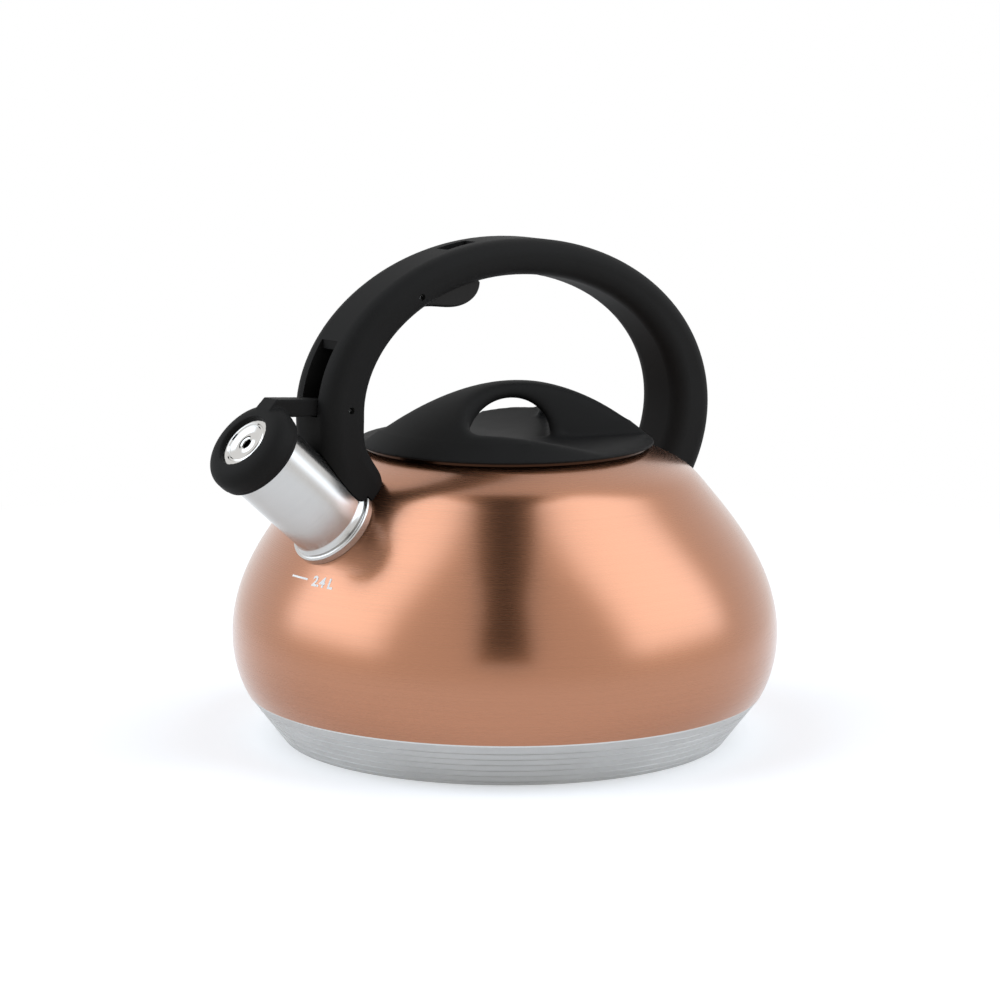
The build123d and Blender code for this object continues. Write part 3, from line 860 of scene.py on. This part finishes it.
@dataclass
class WhistleCap(SubAssembly):
    """Whistle cap with its bright dished disc."""

    foot: Triple = (-86.5 * MM, 0.0, 94.9 * MM)
    face: float = 54.4 * MM
    radius: float = 10.8 * MM
    hole: float = 1.9 * MM
    sheet: float = 0.5 * MM
    cell: float = 0.4 * MM
    rounds: int = 5
    nodes = {
        "spout_cap": BLACK,
        "cap_ring": BLACK,
        "cap_seal": SEAL,
        "whistle_back_plate": CHROME,
        "whistle_front_plate": CHROME,
    }

    def build(self) -> None:
        """Dress the cap, press the disc's rings into its front plate and melt the cap's edges."""
        super().build()
        self.piece("whistle_disc", self.disc(), Body.CAP, CHROME, ["whistle_front_plate"])
        moulding = softened_mesh("spout_cap", self.cell, [(self.rounds, everywhere)])
        self.piece("cap_moulding", moulding, Body.CAP, BLACK, ["spout_cap"])

    def disc(self) -> bpy.types.Mesh:
        """Dished disc with a raised rim, a groove and a rolled lip round its hole.

        Returns:
            The disc's mesh.
        """
        lip = [
            (self.hole, -1.3 * MM),
            (self.hole + 0.2 * MM, -0.75 * MM),
            (self.hole + 0.8 * MM, -0.55 * MM),
            (self.hole + 1.7 * MM, -0.95 * MM),
        ]
        dish = [
            (0.52 * self.radius, -1.0 * MM),
            (0.66 * self.radius, -0.35 * MM),
            (0.7 * self.radius, -0.3 * MM),
        ]
        groove = [
            (0.74 * self.radius, -0.6 * MM),
            (0.78 * self.radius, -0.6 * MM),
        ]
        rim = [
            (0.82 * self.radius, -0.05 * MM),
            (0.91 * self.radius, 0.1 * MM),
            (self.radius, -0.05 * MM),
        ]
        front = lip + dish + groove + rim
        back = [(radius, height - self.sheet) for radius, height in reversed(front)]
        along = Vector(Axis.SPOUT.value)
        middle = Vector(self.foot) + along * self.face
        place = Matrix.Translation(middle) @ along.to_track_quat("Z", "Y").to_matrix().to_4x4()
        return revolved_mesh("whistle_disc", front + back, place)


@dataclass
class Handle(SubAssembly):
    """Loop handle with its brackets, screws and pins."""

    nodes = {
        "handle": BLACK,
        "front_bracket": PAN_STEEL,
        "rear_bracket": PAN_STEEL,
        "handle_screws": PAN_STEEL,
        "trigger_pin": PAN_STEEL,
        "cap_pin": PAN_STEEL,
    }


@dataclass
class Linkage(SubAssembly):
    """Trigger, push rod and return spring."""

    nodes = {
        "trigger": TRIGGER_BLACK,
        "link_pin": PAN_STEEL,
        "push_rod": TRIGGER_BLACK,
        "return_spring": PAN_STEEL,
    }


@dataclass
class Lid(SubAssembly):
    """Lid cover over its steel cup and seal."""

    cell: float = 0.6 * MM
    rounds: tuple[int, int, int] = (3, 12, 130)
    rim_top: float = 119.8 * MM
    arch_foot: float = 125.5 * MM
    hollow_start: float = 10.0 * MM
    hollow_turn: float = -40.0
    nodes = {"lid_cover": BLACK, "lid_cup": PAN_STEEL, "lid_screws": PAN_STEEL, "lid_seal": SEAL}

    def build(self) -> None:
        """Dress the lid and melt its cover's arch and hollows together."""
        super().build()
        passes = zip(self.rounds, (everywhere, self.above_rim, self.near_arch))
        moulding = softened_mesh("lid_cover", self.cell, passes)
        self.piece("lid_moulding", moulding, Body.LID, BLACK, ["lid_cover"])

    def above_rim(self, point: Vector) -> bool:
        """Whether a point lies above the lid's rim."""
        return point.z > self.rim_top

    def near_arch(self, point: Vector) -> bool:
        """Find where the arch and the hollows are.

        Args:
            point: Point of the lid's cover.

        Returns:
            Whether it lies on the arch, or in a hollow beyond the arch's foot.
        """
        turned = point.xy @ Matrix.Rotation(math.radians(self.hollow_turn), 2)
        across = -math.copysign(turned.x, turned.x * turned.y)
        return point.z > self.arch_foot or (self.above_rim(point) and across > self.hollow_start)


@dataclass
class Studio:
    """White floor in a white room, a large soft light on each side, and a dark card over the camera."""

    eye: Triple = (-0.8356, -0.9959, 0.3142)
    target: Triple = (0.0, 0.0, 0.1)
    sensor: float = 36.0
    lens: float = 117.9
    shift: Span = (-0.0054, -0.0126)
    roll: float = 0.004
    clip: Span = (0.01, 50.0)
    ambient: float = 0.62
    floor_radius: float = 6.0
    floor_sides: int = 96
    floor_drop: float = 0.05 * MM
    floor_white: Colour = (0.86, 0.86, 0.86)
    floor_glow: float = 0.28
    floor_fade: Span = (0.22, 0.6)
    box_radiance: float = 1.75
    box_colour: Colour = (0.87, 1.0, 1.15)
    box_size: Span = (1.8, 3.0)
    box_middle: Triple = (1.08, 0.24, 1.5)
    box_heading: float = 76.0
    box_lean: float = 14.0
    box_edge: Span = (0.27, 0.12)
    card_black: Colour = (0.02, 0.02, 0.02)
    card_width: float = 0.64
    card_foot: float = 0.25
    card_height: float = 1.7
    card_distance: float = 1.7
    card_back: float = -0.2
    forward: Vector = field(init=False)
    right: Vector = field(init=False)

    def __post_init__(self) -> None:
        """Find the level way to the camera and the way to its right."""
        self.forward = Vector((self.eye[0], self.eye[1], 0.0)).normalized()
        self.right = Vector((-self.forward.y, self.forward.x, 0.0))

    def build(self) -> None:
        """Set up the whole studio."""
        self.sky()
        self.floor()
        self.card()
        for side in Side:
            self.soft_box(side)
        self.camera()
        bpy.context.scene.view_settings.view_transform = "Standard"
        LOG.info("studio ready")

    def sky(self) -> None:
        """White to the eye and in reflections, and a dim even light besides."""
        world = bpy.data.worlds.new("studio_sky")
        bpy.context.scene.world = world
        world.use_nodes = True
        graph = Graph(world.node_tree)
        light = {"Color": (1.0, 1.0, 1.0, 1.0), "Strength": self.white_level(self.shown(graph))}
        white = graph.node("ShaderNodeBackground", inputs=light)
        graph.node("ShaderNodeOutputWorld", inputs={"Surface": white})

    @staticmethod
    def shown(graph: Graph) -> Signal:
        """Tell the rays that show the background: straight to the eye, reflected or let through.

        Args:
            graph: Node tree of the world or of the floor.

        Returns:
            One for these rays and zero for others.
        """
        path = graph.node("ShaderNodeLightPath").socket.node.outputs
        kinds = ("Camera", "Glossy", "Transmission")
        eye, glossy, through = (Signal(graph, path[f"Is {kind} Ray"]) for kind in kinds)
        return graph.limited(eye + glossy + through, 0.0, 1.0)

    def white_level(self, shown: Signal) -> Signal:
        """Strength of the white room: one where it is shown, and the dim even light besides."""
        return shown * (1.0 - self.ambient) + self.ambient

    def floor(self) -> None:
        """Wide white floor that glows a little where it is seen and keeps the shadow."""
        shape = bmesh.new()
        bmesh.ops.create_circle(shape, cap_ends=True, segments=self.floor_sides, radius=self.floor_radius)
        floor = self.staged("floor", shape)
        floor.location.z = -self.floor_drop
        graph = self.coated(floor, "white_floor")
        away = graph.node("ShaderNodeVectorMath", {"operation": "LENGTH"}, {0: graph.place()}, "Value")
        shown = self.shown(graph)
        paper = graph.node("ShaderNodeBsdfDiffuse", inputs={"Color": (*self.floor_white, 1.0)})
        glow = graph.node("ShaderNodeEmission", inputs={"Strength": shown * self.floor_glow})
        lit = graph.node("ShaderNodeAddShader", inputs={0: paper, 1: glow})
        white = graph.node("ShaderNodeEmission", inputs={"Strength": self.white_level(shown)})
        fade = graph.limited(away, *self.floor_fade)
        whole = graph.node("ShaderNodeMixShader", inputs={0: fade, 1: lit, 2: white})
        graph.node("ShaderNodeOutputMaterial", inputs={"Surface": whole})

    def card(self) -> None:
        """Dark card behind and over the camera, which the metal shows as a dark band."""
        shape = bmesh.new()
        side = self.right * (self.card_width / 2)
        foot = self.forward * self.card_distance + UP * self.card_foot
        top = self.forward * self.card_distance + UP * self.card_height
        back = self.forward * self.card_back + UP * self.card_height
        rows = [[shape.verts.new(spot + way * side) for way in (-1.0, 1.0)] for spot in (foot, top, back)]
        for low, high in zip(rows, rows[1:]):
            shape.faces.new((*low, *reversed(high)))
        card = self.staged("card", shape)
        card.visible_camera = False
        graph = self.coated(card, "black_card")
        black = graph.node("ShaderNodeBsdfDiffuse", inputs={"Color": (*self.card_black, 1.0)})
        graph.node("ShaderNodeOutputMaterial", inputs={"Surface": black})

    @staticmethod
    def staged(name: str, shape: bmesh.types.BMesh) -> bpy.types.Object:
        """Turn a shape into a piece of the studio.

        Args:
            name: Name of the piece.
            shape: Its shape, which is used up.

        Returns:
            The object.
        """
        piece = bpy.data.objects.new(name, settled_mesh(shape, bpy.data.meshes.new(name)))
        bpy.context.scene.collection.objects.link(piece)
        LOG.info("set up %s", name)
        return piece

    @staticmethod
    def coated(piece: bpy.types.Object, name: str) -> Graph:
        """Give a piece of the studio an empty material.

        Args:
            piece: The piece.
            name: Name of the material.

        Returns:
            The material's graph.
        """
        material = bpy.data.materials.new(name)
        material.use_nodes = True
        piece.data.materials.append(material)
        return Graph(material.node_tree)

    def soft_box(self, side: Side) -> None:
        """Large soft light that stands beside the kettle and faces it.

        Args:
            side: Side of the camera that it stands on.
        """
        name = f"{side.name.lower()}_box"
        lamp = bpy.data.lights.new(name, "AREA")
        lamp.shape = "RECTANGLE"
        lamp.color = self.box_colour
        lamp.size, lamp.size_y = self.box_size
        lamp.energy = self.box_radiance * math.pi * self.box_size[0] * self.box_size[1]
        self.soften(lamp)
        holder = bpy.data.objects.new(name, lamp)
        across, ahead, up = self.box_middle
        holder.location = self.right * (side.value * across) + self.forward * ahead + UP * up
        heading, lean = math.radians(self.box_heading), math.radians(self.box_lean)
        level = self.right * (side.value * math.sin(heading)) + self.forward * math.cos(heading)
        outward = level * math.cos(lean) + UP * math.sin(lean)
        holder.rotation_euler = outward.to_track_quat("Z", "Y").to_euler()
        holder.visible_camera = False
        bpy.context.scene.collection.objects.link(holder)
        LOG.info("set up %s", name)

    def soften(self, lamp: bpy.types.AreaLight) -> None:
        """Let a light fade towards its edges.

        Args:
            lamp: The light.
        """
        lamp.use_nodes = True
        graph = Graph(lamp.node_tree)
        spot = graph.parts(graph.node("ShaderNodeNewGeometry", output="Parametric"))
        from_edge = [0.5 - graph.size(part - 0.5) for part in spot[:2]]
        across, up = (graph.eased(part, 0.0, edge) for part, edge in zip(from_edge, self.box_edge))
        light = graph.node("ShaderNodeEmission", inputs={"Strength": across * up})
        graph.node("ShaderNodeOutputLight", inputs={"Surface": light})

    def camera(self) -> None:
        """Camera at the photograph's angle."""
        data = bpy.data.cameras.new("camera")
        data.sensor_width = self.sensor
        data.lens = self.lens
        data.shift_x, data.shift_y = self.shift
        data.clip_start, data.clip_end = self.clip
        holder = bpy.data.objects.new("camera", data)
        facing = (Vector(self.target) - Vector(self.eye)).to_track_quat("-Z", "Y").to_matrix()
        turned = facing @ Matrix.Rotation(self.roll, 3, "Z")
        holder.matrix_world = Matrix.Translation(self.eye) @ turned.to_4x4()
        bpy.context.scene.collection.objects.link(holder)
        bpy.context.scene.camera = holder


def main() -> None:
    """Build every sub-assembly, then the studio."""
    logging.basicConfig(level=logging.INFO, format="%(name)s: %(message)s")
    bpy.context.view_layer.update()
    for group in (Vessel(), Base(), Spout(), WhistleCap(), Handle(), Linkage(), Lid()):
        group.build()
    Studio().build()


if __name__ == "__main__":
    main()
